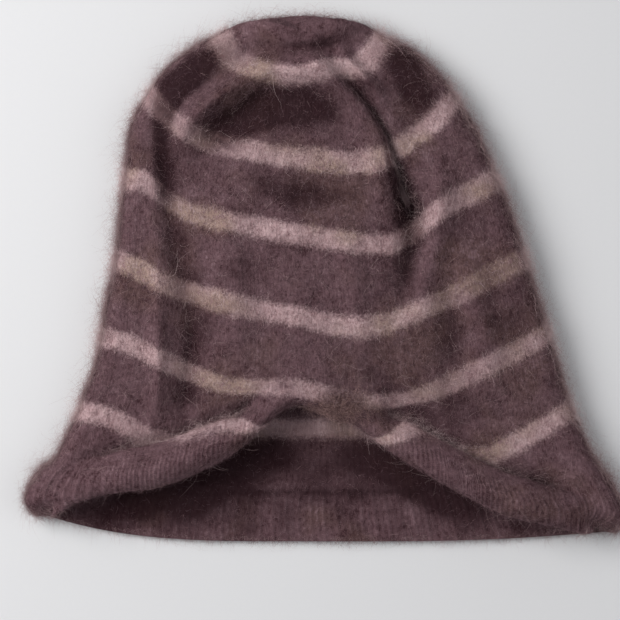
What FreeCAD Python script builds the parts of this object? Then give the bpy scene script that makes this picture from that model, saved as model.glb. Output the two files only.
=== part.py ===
import FreeCAD
import Part
import math
import os

# A knitted pull-on hat lying on its back: +X to the wearer's side, +Y towards the crown, +Z up off
# the table.  The back layer is flat on z = 0.  The front hem is turned in along an arch, so the mouth
# stands open there.

NAME = "knit_beanie"

SIZES = {
    "centre_x": 1.54,
    "centre_y": 1.08,
    "fabric": 2.6,
    "band_clearance": 0.24,
    "closing_start": 6.0,
    "top_turn_radius": 10.0,
    "top_turn_start": 1.0,
    "top_turn_y": 123.5,
    "back_pace": 0.978,
    "stripe_width": 10.0,
    "first_stripe_reach": 35.0,
    "stripe_pitch": 40.0,
    "rib_start_reach": 267.0,
    "edge_start_reach": 290.0,
    "edge_extra": 0.5,
    "fine_row": 2.4,
    "coarse_row": 4.0,
    "bow_skew": 1.10,
    "arch_apex_x": -11.0,
    "arch_apex_y": -62.0,
    "arch_left_drop": 54.0,
    "arch_left_span": 48.0,
    "arch_left_power": 1.3,
    "arch_right_drop": 68.0,
    "arch_right_span": 75.0,
    "arch_right_power": 1.4,
    "corner_start": 106.0,
    "corner_width": 30.0,
    "corner_drop": 12.0,
    "tuck_floor": 9.0,
    "roll_centre": 22.0,
    "roll_left": 31.0,
    "roll_left_x": -84.0,
    "roll_left_span": 52.0,
    "roll_right": 28.0,
    "roll_right_x": 72.0,
    "roll_right_span": 46.0,
    "roll_fade": 24.0,
    "seam_radius": 0.8,
    "seam_clearance": 0.3,
    "seam_start_reach": 9.0,
    "seam_end_reach": 78.0,
    "seam_front_left": 0.19,
    "seam_front_right": 0.77,
    "seam_back_right": 1.26,
    "seam_back_left": 1.74,
    "closing_ring_radius": 2.1,
    "closing_yarn_radius": 1.15,
    "closing_drop": 0.6,
}

# Stations down the hat: distance knitted from the crown centre, half width, middle, side line,
# front middle line, top height and radius of the side turn.  Millimetres.
STATIONS = (
    ("crown", 0.0, 0.0, -8.0, 123.0, 123.0, 20.0, 0.0),
    ("cap_mid", 17.0, 20.5, -9.0, 127.5, 114.0, 20.6, 3.9),
    ("stripe_1", 35.0, 39.0, -10.7, 119.0, 103.0, 21.0, 7.5),
    ("stripe_2", 75.0, 76.0, -9.5, 91.0, 60.0, 22.0, 8.5),
    ("stripe_3", 115.0, 92.5, -6.0, 51.0, 20.5, 23.0, 8.5),
    ("stripe_4", 155.0, 101.8, -1.3, 11.5, -21.0, 23.0, 8.5),
    ("stripe_5", 195.0, 111.0, 1.5, -27.0, -60.0, 22.5, 8.5),
    ("stripe_6", 235.0, 123.0, 1.8, -64.0, -100.0, 22.0, 8.5),
    ("rib", 267.0, 137.0, 1.5, -94.0, -132.0, 22.0, 9.0),
    ("hem", 293.0, 149.5, 1.5, -117.0, -158.0, 21.0, 9.5),
)
COLUMNS = ("reach", "half_width", "middle", "side_line", "front_line", "height", "turn")

WRAP_POINTS = 61
BACK_POINTS = 9
CAP_WRAP = 36
CAP_BACK_HALF = 11
STEP = 1e-3


def make_sheet(doc):
    sheet = doc.addObject("Spreadsheet::Sheet", "Sizes")
    row = 1
    for alias, value in SIZES.items():
        write_size(sheet, row, alias, value)
        row += 1
    for station in STATIONS:
        for column, value in zip(COLUMNS, station[1:]):
            write_size(sheet, row, station[0] + "_" + column, value)
            row += 1
    doc.recompute()
    return sheet


def write_size(sheet, row, alias, value):
    sheet.set("A%d" % row, alias)
    sheet.set("B%d" % row, "%g" % value)
    sheet.setAlias("B%d" % row, alias)


def size(name):
    return float(getattr(SHEET, name))


def smooth(value):
    value = min(1.0, max(0.0, value))
    return value * value * (3.0 - 2.0 * value)


def slopes(xs, ys):
    # Tangents of a curve through the stations, taken from the neighbours on each side.
    result = []
    last = len(xs) - 1
    for i in range(len(xs)):
        before = max(0, i - 1)
        after = min(last, i + 1)
        result.append((ys[after] - ys[before]) / (xs[after] - xs[before]))
    return result


def build_columns():
    table = {}
    names = [station[0] for station in STATIONS]
    xs = [size(name + "_reach") for name in names]
    for column in COLUMNS[1:]:
        ys = [size(name + "_" + column) for name in names]
        table[column] = (xs, ys, slopes(xs, ys))
    return table


def at(column, reach):
    xs, ys, ms = TABLE[column]
    i = 0
    while i < len(xs) - 2 and reach > xs[i + 1]:
        i += 1
    width = xs[i + 1] - xs[i]
    p = (reach - xs[i]) / width
    a = (1 + 2 * p) * (1 - p) ** 2 * ys[i] + p * (1 - p) ** 2 * width * ms[i]
    b = p * p * (3 - 2 * p) * ys[i + 1] + p * p * (p - 1) * width * ms[i + 1]
    return a + b


def back_path(reach):
    # Back middle of the hat: over the top turn, then straight down the flat back layer.  Returns y and z.
    radius = size("top_turn_radius")
    start = size("top_turn_start")
    angle = (reach - start) / radius
    y = size("top_turn_y")
    if angle <= 0.0:
        return y + reach - start, 2.0 * radius
    if angle < math.pi:
        return y + radius * math.sin(angle), radius + radius * math.cos(angle)
    return y - radius * (angle - math.pi) * size("back_pace"), 0.0


def turn_at(reach):
    # Radius of the side turn: it closes to nothing where the crown lies level.
    room = at("height", reach) - back_path(reach)[1]
    return min(at("turn", reach), 0.47 * room)


def arch(x):
    # Plan line of the turned-in front hem.
    offset = x - size("arch_apex_x")
    side = "arch_left" if offset < 0 else "arch_right"
    grown = (abs(offset) / size(side + "_span")) ** size(side + "_power")
    corner = smooth((abs(x - size("hem_middle")) - size("corner_start")) / size("corner_width"))
    drop = size(side + "_drop") * (1.0 - math.exp(-grown)) + size("corner_drop") * corner
    return size("arch_apex_y") - drop


def roll_height(x):
    # Height of the roll along the arch: highest in the middle of each side.
    centre = size("roll_centre")
    left = math.exp(-((x - size("roll_left_x")) / size("roll_left_span")) ** 2)
    right = math.exp(-((x - size("roll_right_x")) / size("roll_right_span")) ** 2)
    return centre + (size("roll_left") - centre) * left + (size("roll_right") - centre) * right


def open_wrap(part, reach):
    # Point on the side turns and front before the hem is turned in; part runs 0 to 1 from the left foot
    # to the right foot.
    half = at("half_width", reach)
    turn = turn_at(reach)
    middle = at("middle", reach)
    flat = half - turn
    floor = back_path(reach)[1]
    length = 2.0 * math.pi * turn + 2.0 * flat
    run = part * length
    side = at("side_line", reach)
    drop = side - at("front_line", reach)
    y = side - drop * math.sin(math.pi * part ** size("bow_skew")) ** 2
    arc = math.pi * turn
    if run <= arc:
        angle = run / turn
        return middle - flat - turn * math.sin(angle), y, floor + turn - turn * math.cos(angle)
    if run >= length - arc:
        angle = (length - run) / turn
        return middle + flat + turn * math.sin(angle), y, floor + turn - turn * math.cos(angle)
    across = (run - arc) / flat - 1.0
    x = middle + across * flat
    edge = floor + 2.0 * turn
    body = edge + (max(edge, at("height", reach)) - edge) * (1.0 - across * across) ** 2
    inner = smooth((1.0 - abs(across)) / 0.3)
    crest = edge + (roll_height(x) - edge) * inner
    near = math.exp(-((y - arch(x) - 8.0) / size("roll_fade")) ** 2) if y > arch(x) + 8.0 else 1.0
    return x, y, body + (crest - body) * near * smooth((reach - 150.0) / 30.0)


def fold_reach(part):
    # Distance from the crown at which the front fabric starts to turn in, for one line of stitches.
    hem = size("hem_reach")
    low = 150.0
    high = hem
    if fold_gap(part, hem) > 0.0:
        return hem
    for _ in range(40):
        mid = (low + high) / 2.0
        if fold_gap(part, mid) > 0.0:
            low = mid
        else:
            high = mid
    return high


def fold_gap(part, reach):
    x, y, z = open_wrap(part, reach)
    return y - arch(x) - (z - size("tuck_floor")) / 2.0


def wrap(part, reach):
    # Point on the side turns and front with the hem turned in.
    key = round(part, 7)
    if key not in FOLDS:
        FOLDS[key] = fold_reach(part)
    fold = FOLDS[key]
    if reach <= fold:
        return open_wrap(part, reach)
    x, y, z = open_wrap(part, fold)
    radius = (z - size("tuck_floor")) / 2.0
    angle = (reach - fold) / (radius - size("fabric") / 2.0)
    if angle < math.pi:
        return x, y - radius * math.sin(angle), z - radius + radius * math.cos(angle)
    return x, y + (angle - math.pi) * (radius - size("fabric") / 2.0), size("tuck_floor")


def back(part, reach):
    # Point on the back layer; part runs 0 to 1 from right foot to left foot.
    flat = at("half_width", reach) - turn_at(reach)
    line, floor = back_path(reach)
    side = at("side_line", reach)
    across = 1.0 - 2.0 * part
    power = 1.0 + smooth((reach - 32.0) / 40.0)
    rise = max(0.0, math.cos(math.pi * across / 2.0)) ** power
    return at("middle", reach) + across * flat, side + (line - side) * rise, floor


def ring(s, reach):
    # Closed course of the knitting: s from 0 to 1 is the wrap, 1 to 2 is the back.
    s = s % 2.0
    x, y, z = wrap(s, reach) if s <= 1.0 else back(s - 1.0, reach)
    return FreeCAD.Vector(x - size("centre_x"), y - size("centre_y"), z)


def lies_flat(reach):
    return reach >= size("top_turn_start") + math.pi * size("top_turn_radius")


def inside(s, reach, depth):
    # The same point moved through the fabric, square to its face.
    if lies_flat(reach) and (s % 2.0 == 0.0 or s % 2.0 >= 1.0):
        return ring(s, reach) + FreeCAD.Vector(0.0, 0.0, depth)
    spread = STEP + 0.2 * smooth((30.0 - reach) / 26.0)
    along = ring(s + spread, reach) - ring(s - spread, reach)
    low = max(reach - 0.05, 0.5)
    high = min(reach + 0.05, size("hem_reach"))
    down = ring(s, high) - ring(s, low)
    normal = along.cross(down)
    normal.normalize()
    return ring(s, reach) + normal * depth


def wrap_stops():
    return [i / (WRAP_POINTS - 1) for i in range(WRAP_POINTS)]


def rows(first, last, spacing):
    count = max(4, int(math.ceil((last - first) / spacing)) + 1)
    return [first + (last - first) * i / (count - 1) for i in range(count)]


def surface(stops, reaches, depth):
    grid = [[inside(s, reach, depth) for s in stops] for reach in reaches]
    patch = Part.BSplineSurface()
    patch.interpolate(grid)
    return patch


def curve(stops, reach, depth):
    line = Part.BSplineCurve()
    line.interpolate([inside(s, reach, depth) for s in stops])
    return line.toShape()


def wrapped_faces(stops, reaches, far):
    # Both faces of the fabric over a run of stops, and the cut ends that join them.
    outer = surface(stops, reaches, 0.0)
    inner = surface(stops, reaches, far)
    faces = [outer.toShape(), inner.toShape()]
    for end in (0, 1):
        outer_end = outer.uIso(outer.bounds()[end]).toShape()
        inner_end = inner.uIso(inner.bounds()[end]).toShape()
        faces.append(Part.makeRuledSurface(outer_end, inner_end, 1))
    sides = []
    for patch in (outer, inner):
        sides.append([patch.vIso(patch.bounds()[end]).toShape() for end in (2, 3)])
    return faces, sides


def flat_faces(sides, reaches, far):
    # The back layer under the wrap: two true planes and the cut ends between them.
    stops = [1.0 + i / (BACK_POINTS - 1) for i in range(BACK_POINTS)]
    faces = []
    ends = []
    for edges, depth in zip(sides, (0.0, far)):
        first = curve(stops, reaches[0], depth)
        last = curve(stops, reaches[-1], depth)
        ends.append((first, last))
        border = Part.__sortEdges__([edges[0], first, edges[1], last])
        faces.append(Part.Face(Part.Wire(border)))
    for outer, inner in zip(ends[0], ends[1]):
        faces.append(Part.makeRuledSurface(outer, inner, 1))
    return faces


def closed_stops():
    # A whole course at an even pace, starting and ending at the back middle.
    before = [1.5 + 0.5 * i / CAP_BACK_HALF for i in range(CAP_BACK_HALF)]
    wrapped = [2.0 + i / CAP_WRAP for i in range(CAP_WRAP)]
    after = [3.0 + 0.5 * i / CAP_BACK_HALF for i in range(CAP_BACK_HALF + 1)]
    return before + wrapped + after


def band_solid(first, last, extra):
    turned = not lies_flat(first) or last > size("stripe_4_reach") + 30.0
    spacing = size("fine_row") if turned else size("coarse_row")
    reaches = rows(first, last, spacing)
    fabric = size("fabric") + extra
    if not lies_flat(first):
        return sewn(wrapped_faces(closed_stops(), reaches, fabric)[0])
    faces, sides = wrapped_faces(wrap_stops(), reaches, fabric)
    return sewn(faces + flat_faces(sides, reaches, fabric))


def sewn(faces):
    shell = Part.makeShell(faces)
    shell.sewShape()
    if shell.ShapeType != "Shell":
        shell = shell.Shells[0]
    solid = Part.makeSolid(shell)
    if solid.Volume < 0:
        solid.reverse()
    return solid


def seam_solid(s):
    # A linked ridge on the inside of the crown, where the knitting is narrowed.
    depth = size("fabric") + size("seam_clearance") + size("seam_radius")
    reaches = rows(size("seam_start_reach"), size("seam_end_reach"), 5.0)
    points = [inside(s, reach, depth) for reach in reaches]
    line = Part.BSplineCurve()
    line.interpolate(points)
    start = line.value(line.FirstParameter)
    direction = line.tangent(line.FirstParameter)[0]
    profile = Part.Wire([Part.makeCircle(size("seam_radius"), start, direction)])
    return Part.Wire([line.toShape()]).makePipeShell([profile], True, True)


def bands():
    # Name, first reach, last reach and extra thickness of every length of colour, crown to hem.
    half = size("stripe_width") / 2.0
    gap = size("band_clearance") / 2.0
    found = []
    start = size("closing_start")
    name = "crown_cap"
    for number in range(1, 7):
        middle = size("first_stripe_reach") + size("stripe_pitch") * (number - 1)
        found.append((name, start, middle - half - gap, 0.0))
        found.append(("stripe_%d" % number, middle - half + gap, middle + half - gap, 0.0))
        start = middle + half + gap
        name = "main_band_%d" % number
    found.append((name, start, size("rib_start_reach") - gap, 0.0))
    found.append(("hem_rib", size("rib_start_reach") + gap, size("edge_start_reach") - gap, 0.0))
    found.append(("cast_on_edge", size("edge_start_reach") + gap, size("hem_reach"), size("edge_extra")))
    return found


def add_feature(doc, name, shape):
    feature = doc.addObject("Part::Feature", name)
    feature.Label = name
    feature.Shape = shape
    feature.Placement = FreeCAD.Placement(FreeCAD.Vector(0, 0, 0), FreeCAD.Rotation())
    return feature


def add_closing_yarn(doc):
    torus = doc.addObject("Part::Torus", "crown_closing_yarn")
    torus.Label = "crown_closing_yarn"
    torus.setExpression("Radius1", "Sizes.closing_ring_radius * 1 mm")
    torus.setExpression("Radius2", "Sizes.closing_yarn_radius * 1 mm")
    start = size("closing_start")
    middle = (ring(0.5, start) + ring(1.5, start)) * 0.5
    middle.z = ring(0.5, start).z - size("closing_drop")
    torus.Placement = FreeCAD.Placement(middle, FreeCAD.Rotation())
    return torus


def main():
    parts = []
    for name, first, last, extra in bands():
        parts.append(add_feature(DOC, name, band_solid(first, last, extra)))
    for name in ("seam_front_left", "seam_front_right", "seam_back_right", "seam_back_left"):
        parts.append(add_feature(DOC, "crown_" + name, seam_solid(size(name))))
    parts.append(add_closing_yarn(DOC))
    DOC.recompute()
    check(DOC, parts)
    os.makedirs("parts", exist_ok=True)
    for part in parts:
        part.Shape.exportStep("parts/%s.step" % part.Label)


def check(doc, parts):
    for item in doc.Objects:
        if "Invalid" in item.State or "Error" in item.State:
            raise RuntimeError("%s did not compute" % item.Label)
    for part in parts:
        if part.Shape.isNull() or not part.Shape.isValid() or not part.Shape.Solids:
            raise RuntimeError("%s has no valid solid" % part.Label)


DOC = FreeCAD.newDocument(NAME)
SHEET = make_sheet(DOC)
TABLE = build_columns()
FOLDS = {}
main()
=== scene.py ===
"""Looks of the knit beanie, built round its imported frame.

The hat lies on its back: +X across, +Y to the crown, +Z up.  Shapes are worked out in design millimetres
and then brought into the frame.  A point of the cloth is (part, reach): reach is the distance knitted from
the crown centre, part runs round a course (0 left foot, over the front, 1 right foot, then the back to 2).
"""

import math

import bpy
import numpy as np
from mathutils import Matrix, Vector


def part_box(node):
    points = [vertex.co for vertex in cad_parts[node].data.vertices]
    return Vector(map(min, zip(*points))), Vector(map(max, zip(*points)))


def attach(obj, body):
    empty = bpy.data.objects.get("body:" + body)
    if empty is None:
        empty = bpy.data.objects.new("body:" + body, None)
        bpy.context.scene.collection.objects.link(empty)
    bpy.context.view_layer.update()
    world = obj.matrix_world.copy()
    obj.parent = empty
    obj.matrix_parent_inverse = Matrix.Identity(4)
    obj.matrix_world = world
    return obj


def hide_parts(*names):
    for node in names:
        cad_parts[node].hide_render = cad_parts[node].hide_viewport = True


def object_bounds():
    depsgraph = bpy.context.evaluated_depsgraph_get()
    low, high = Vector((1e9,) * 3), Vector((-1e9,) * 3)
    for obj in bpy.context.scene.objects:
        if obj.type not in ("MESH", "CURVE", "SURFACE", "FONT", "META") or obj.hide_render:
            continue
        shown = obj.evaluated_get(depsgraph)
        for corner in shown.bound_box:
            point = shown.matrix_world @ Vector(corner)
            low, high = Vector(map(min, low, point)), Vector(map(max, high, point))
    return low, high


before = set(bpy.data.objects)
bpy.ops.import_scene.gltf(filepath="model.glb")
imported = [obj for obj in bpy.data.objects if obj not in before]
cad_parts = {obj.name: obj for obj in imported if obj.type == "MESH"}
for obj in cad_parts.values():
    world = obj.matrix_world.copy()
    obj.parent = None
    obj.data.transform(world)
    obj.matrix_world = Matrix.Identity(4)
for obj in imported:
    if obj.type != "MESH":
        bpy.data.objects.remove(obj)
START_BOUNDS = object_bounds()
SCENE = bpy.context.scene
RNG = np.random.default_rng(7)
FULL_TURN = 2.0 * math.pi

# ------ frame sizes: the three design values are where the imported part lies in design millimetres
LOW, HIGH = [np.array(corner, float) for corner in START_BOUNDS]
DESIGN_WIDTH = 298.9
DESIGN_HEM_X = 1.5
DESIGN_TOP_Y = 133.5
SCALE = (HIGH[0] - LOW[0]) / DESIGN_WIDTH
CROWN_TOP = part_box("crown_cap")[1][1]
HEM_MIDDLE = (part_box("hem_rib")[0][0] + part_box("hem_rib")[1][0]) / 2.0
SHIFT = np.array([DESIGN_HEM_X - HEM_MIDDLE / SCALE, DESIGN_TOP_Y - CROWN_TOP / SCALE, 0.0])

# ------ sizes of the knit, design mm: cloth thickness, and reach of the stripes, the rib and the hem
FABRIC = 2.6
STRIPE_HALF = 5.0
FIRST_STRIPE = 35.0
STRIPE_PITCH = 40.0
STRIPES = [FIRST_STRIPE + STRIPE_PITCH * k for k in range(6)]
RIB = 267.0
EDGE = 290.0
HEM = 293.0
CAP_START = 0.5
WALE = 1.62
STITCH = 1.25
SEAM_PITCH = 1.6
PACE_BELOW = 0.86
# Heights of the relief: wales, wales where they are clear, ribs, fine and soft unevenness, bead and ledge.
WALE_RELIEF = 0.022
CLEAR_RELIEF = 0.065
RIB_RELIEF = 0.10
GRAIN = 0.06
FLUFF = 0.14
BEAD = 0.45
LEDGE = 0.35

# ------ outline and courses, design mm
# Feet of every course: reach, left x and y, right x and y.
SIDES = np.array([
    (0, -8, 123, -8, 123), (9, -21, 129.8, 5, 129.8), (17, -32.5, 129.6, 14.5, 129.2),
    (26, -43, 127, 23, 126.4), (35, -51.5, 123, 30.5, 122), (48, -66.5, 115, 45.5, 114.8),
    (62, -79, 104.5, 58, 103), (75, -87, 93, 66.5, 91), (86, -93.5, 81, 72, 83),
    (95, -96.5, 71, 77.5, 74.5), (115, -98.5, 50.5, 87, 50.5), (135, -101, 29, 95, 29),
    (155, -103, 9, 101, 10), (175, -107, -10, 107, -8.5), (195, -110, -28.5, 112.5, -27),
    (212, -113.5, -45, 117.5, -44), (225, -118.5, -57, 121, -55), (235, -121.5, -65.5, 124.5, -65),
    (250, -128.5, -80, 131, -81), (258, -132, -87.5, 135, -88.5), (263, -135.5, -91, 138, -92.5),
    (269, -141, -94.5, 142, -97.5), (276, -146, -100.5, 147, -105),
    (284, -148.5, -108.5, 150.5, -114.5), (289, -147, -113.5, 150, -121),
    (293, -143, -118, 147, -126.5)], float)
# Lines of courses across the front: x, y of the points between the left foot and the right foot.
COURSES = {
    17: [(-26, 121), (-18, 116.5), (-8, 115), (2, 116.5), (9, 120.5)],
    35: [(-46, 112), (-37, 106.5), (-28, 103.5), (-15, 101.5), (-4, 103.5), (5, 106.5), (13, 105.5),
          (21, 108)],
    75: [(-79.5, 84.5), (-69.5, 75.5), (-54, 68.5), (-36, 64.5), (-16, 61), (4, 58.5), (20, 58.5),
          (30, 60.5), (38, 65), (47, 72), (57, 80)],
    115: [(-88, 49), (-77, 40), (-66, 33.5), (-50, 29.5), (-34, 26.5), (-15, 23.5), (4, 20.5), (20, 18),
          (36, 18), (48, 26), (60.5, 36.5), (74, 43)],
    155: [(-92, 5.5), (-78.5, -2), (-63, -7), (-47.5, -11.5), (-30, -15), (-11, -18.5), (4, -22),
          (18, -23.5), (34, -21), (50, -14), (66.5, -7.5), (84, 2)],
    195: [(-100, -30.5), (-82, -38.5), (-70, -44.5), (-61, -48.5), (-47, -53), (-34, -53.5),
          (-18, -53.5), (-6, -55), (10, -59), (26.5, -61), (38, -60), (50, -57.5), (70.5, -48.5),
          (91, -38.5)],
    235: [(-113, -66.5), (-105, -68.5), (-95, -74), (-85.5, -79), (-75, -80), (-65, -78), (-56, -75),
          (-47, -73), (-36, -73), (-20, -85), (0, -94), (18, -90), (35.5, -77.5), (47, -76.5),
          (60, -81), (71, -86.5), (80.5, -88), (91, -84), (101, -79), (113, -71.5)],
}
ARCH = np.array([
    (-152, -125), (-140, -119), (-131, -114.5), (-122, -110), (-103, -106), (-84, -103.5), (-66, -97.5),
    (-47, -88.5), (-34.5, -78.5), (-21.5, -66.5), (-12, -62.3), (-3.5, -64), (8.5, -68.5), (17.5, -73),
    (33, -85), (50, -95.5), (70, -106.5), (91, -117), (111, -122), (132, -126.5), (152, -131)], float)
ROLL_TOP = np.array([
    (-152, 21), (-135, 25), (-118, 28.5), (-100, 31), (-80, 32), (-62, 31.5), (-47, 28.5), (-32, 25),
    (-12, 23), (5, 23), (20, 24), (38, 27), (60, 28.5), (80, 29), (100, 28), (120, 26), (137, 24),
    (152, 20)], float)
ROLL_REACH = np.array([
    (-152, 7), (-125, 9), (-100, 9.5), (-62, 10), (-47, 8.2), (-34, 5.2), (-12, 4.4), (8, 4.4), (24, 6),
    (38, 8.2), (60, 9), (110, 9.5), (135, 9), (152, 7)], float)
TUCK = np.array([
    (-152, 8), (-110, 11), (-70, 12), (-35, 9.5), (0, 9), (35, 9.5), (80, 11), (115, 10), (152, 7)], float)
TURN = np.array([
    (0, 0), (17, 3.9), (35, 7.5), (75, 8.5), (235, 8.7), (256, 8.9), (264, 9.2), (272, 10.2), (280, 10),
    (286, 8.4), (290, 6), (293, 3.6)], float)
HEIGHT = np.array([
    (0, 20), (17, 20.5), (35, 21), (75, 22), (115, 22.5), (155, 22.5), (195, 21.5), (235, 20),
    (293, 20)], float)


def hermite(xs, ys, x):
    """Smooth curve through the given stations, held level past both ends."""
    xs = np.asarray(xs, float)
    ys = np.asarray(ys, float)
    slope = np.empty_like(ys)
    gap = xs[2:] - xs[:-2]
    slope[1:-1] = (ys[2:] - ys[:-2]) / (gap if ys.ndim == 1 else gap[:, None])
    slope[0] = (ys[1] - ys[0]) / (xs[1] - xs[0])
    slope[-1] = (ys[-1] - ys[-2]) / (xs[-1] - xs[-2])
    x = np.clip(np.asarray(x, float), xs[0], xs[-1])
    i = np.clip(np.searchsorted(xs, x) - 1, 0, len(xs) - 2)
    w = xs[i + 1] - xs[i]
    p = (x - xs[i]) / w
    if ys.ndim > 1:
        w = w[:, None]
        p = p[:, None]
    a = (1 + 2 * p) * (1 - p) ** 2 * ys[i] + p * (1 - p) ** 2 * w * slope[i]
    return a + p * p * (3 - 2 * p) * ys[i + 1] + p * p * (p - 1) * w * slope[i + 1]


def curve(table, x, column=1):
    """Smooth curve through one column of a table whose first column is x."""
    return hermite(table[:, 0], table[:, column], x)


def smooth(value):
    """Smooth step from 0 to 1."""
    value = np.clip(value, 0.0, 1.0)
    return value * value * (3.0 - 2.0 * value)


def bell(value, middle, width):
    """Soft hump of height 1."""
    return np.exp(-((value - middle) / width) ** 2)


def unit(vectors):
    """The same directions with length 1."""
    return vectors / np.maximum(np.linalg.norm(vectors, axis=-1, keepdims=True), 1e-9)


def noise(x, y, cell, seed):
    """Gentle value noise in -1..1 with features of the given size."""
    table = np.random.default_rng(seed).uniform(-1, 1, (64, 64))
    u = x / cell
    v = y / cell
    i = np.floor(u).astype(int)
    j = np.floor(v).astype(int)
    a = smooth(u - i)
    b = smooth(v - j)
    top = table[i % 64, j % 64] * (1 - a) + table[(i + 1) % 64, j % 64] * a
    low = table[i % 64, (j + 1) % 64] * (1 - a) + table[(i + 1) % 64, (j + 1) % 64] * a
    return top * (1 - b) + low * b


# ------ table of the front courses
T_GRID = np.linspace(0, 1, 97)


def course_row(reach, points):
    """Line of one course across the front, y at every share of T_GRID."""
    left_x, left_y, right_x, right_y = [curve(SIDES, reach, column) for column in (1, 2, 3, 4)]
    x, y = np.array(points, float).T
    t = np.concatenate([[0.0], (x - left_x) / (right_x - left_x), [1.0]])
    return hermite(t, np.concatenate([[left_y], y, [right_y]]), T_GRID)


# Below the last drawn course the rows follow it at an even pace, and bend to the feet near both ends.
END_SHARE = 0.10
ROW_REACH = [0.0] + [float(reach) for reach in COURSES]
ROWS = [np.full(len(T_GRID), SIDES[0, 2])]
ROWS += [course_row(float(reach), points) for reach, points in COURSES.items()]
for reach in (262.0, HEM, 360.0):
    below = ROWS[len(COURSES)] - (reach - max(COURSES)) * PACE_BELOW
    past_hem = (max(reach, HEM) - HEM) * PACE_BELOW
    side_left = curve(SIDES, reach, 2) - past_hem
    side_right = curve(SIDES, reach, 4) - past_hem
    edge_left = 1.0 - smooth(T_GRID / END_SHARE)
    edge_right = 1.0 - smooth((1.0 - T_GRID) / END_SHARE)
    below = below + edge_left * (side_left - below) + edge_right * (side_right - below)
    ROW_REACH.append(reach)
    ROWS.append(below)
ROW_REACH = np.array(ROW_REACH)
ROWS = np.array(ROWS)


def front_y(t, reach):
    """Plan position of the front courses: t is the share of the way across, reach a column vector."""
    rows = hermite(ROW_REACH, ROWS, reach[:, 0])
    u = np.clip(t, 0, 1) * (len(T_GRID) - 1)
    i = np.clip(np.floor(u).astype(int), 0, len(T_GRID) - 2)
    p = u - i
    index = np.arange(rows.shape[0])[:, None]
    return rows[index, i] * (1 - p) + rows[index, i + 1] * p


CLOSING_Y = 123.5
TOP_RADIUS = 10.0
TOP_OUT = 8.6
BACK_PACE = 0.978


def back_path(reach):
    """Back middle: over the top turn and down the flat back layer."""
    angle = (reach - 1.0) / TOP_RADIUS
    over_top = CLOSING_Y + TOP_OUT * np.sin(np.minimum(angle, math.pi))
    y = np.where(angle <= 0, CLOSING_Y + reach - 1.0, over_top)
    y = np.where(angle > math.pi, CLOSING_Y - TOP_RADIUS * (angle - math.pi) * BACK_PACE, y)
    z = TOP_RADIUS + TOP_RADIUS * np.cos(np.clip(angle, 0, math.pi))
    return y, np.where(angle <= 0, 2.0 * TOP_RADIUS, z)


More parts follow.
